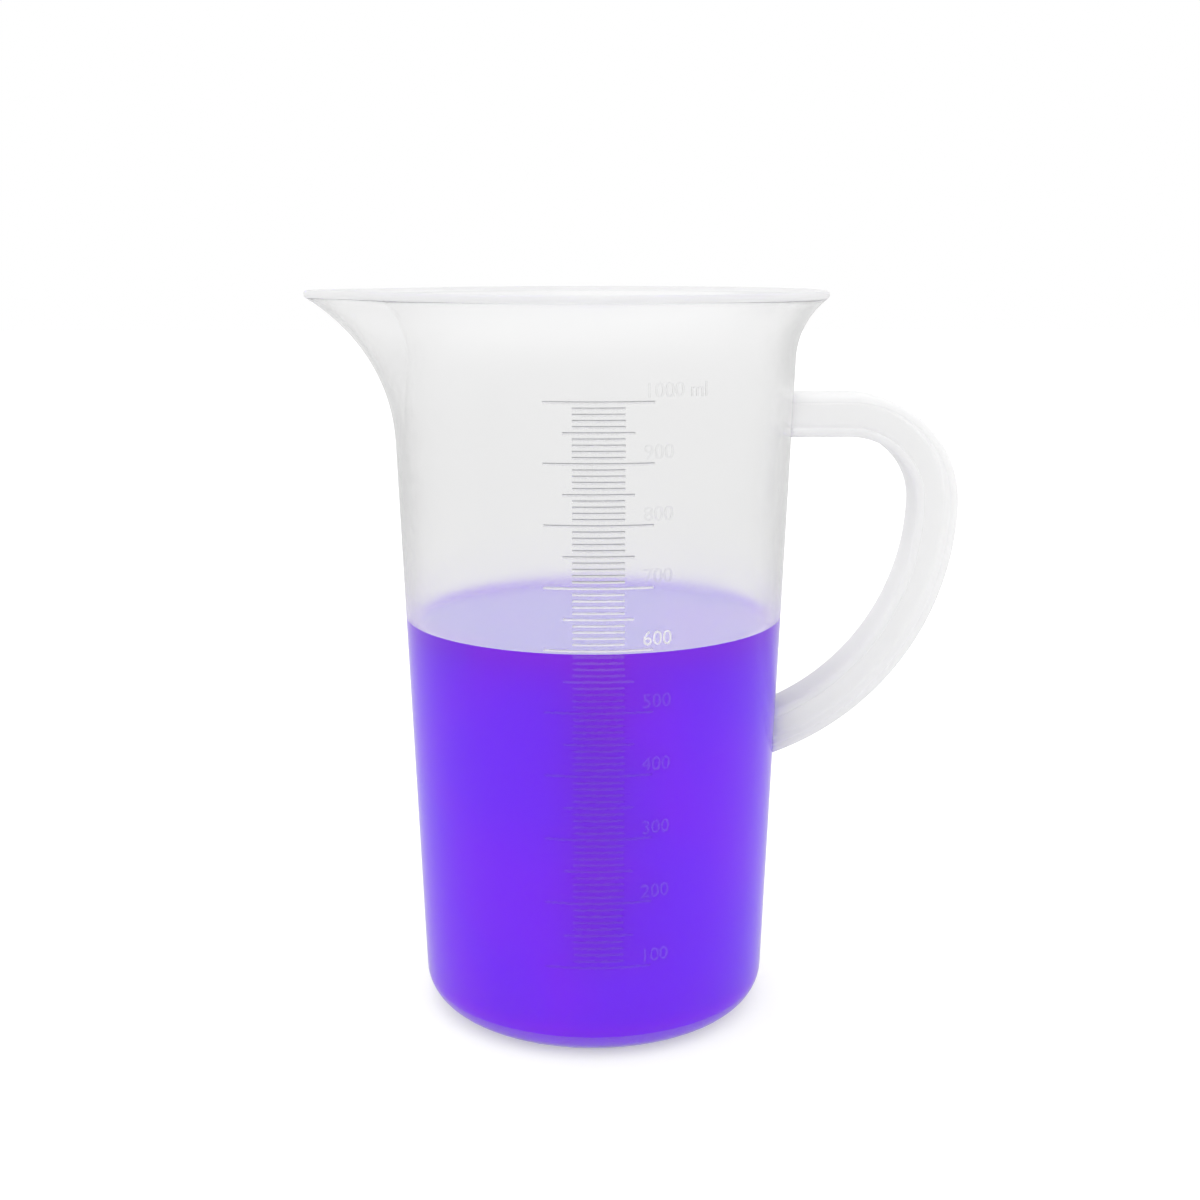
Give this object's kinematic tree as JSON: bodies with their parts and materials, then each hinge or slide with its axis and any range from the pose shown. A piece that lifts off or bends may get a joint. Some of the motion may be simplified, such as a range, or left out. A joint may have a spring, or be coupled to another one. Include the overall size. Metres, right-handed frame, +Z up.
{
  "type": "graduated beaker",
  "caption": "Tall translucent plastic beaker with a flared rim, V spout, D handle and front scale, part full of violet liquid, for measuring and pouring.",
  "frame": {"origin": "on the vessel's axis, in the plane of the foot ring that it stands on", "axes": "+Z up along the vessel's axis, +X towards the handle, -X towards the spout, -Y the side with the scale"},
  "size_m": [0.1641, 0.1166, 0.1849],
  "materials": {
    "vessel": "injection-moulded natural polypropylene, translucent, satin",
    "handle": "injection-moulded natural polypropylene, translucent, satin",
    "liquid": "violet dyed water, clear, wet gloss"
  },
  "bodies": {
    "root": {"beaker_body": "vessel", "handle": "handle", "liquid_fill": "liquid"}
  },
  "joints": []
}
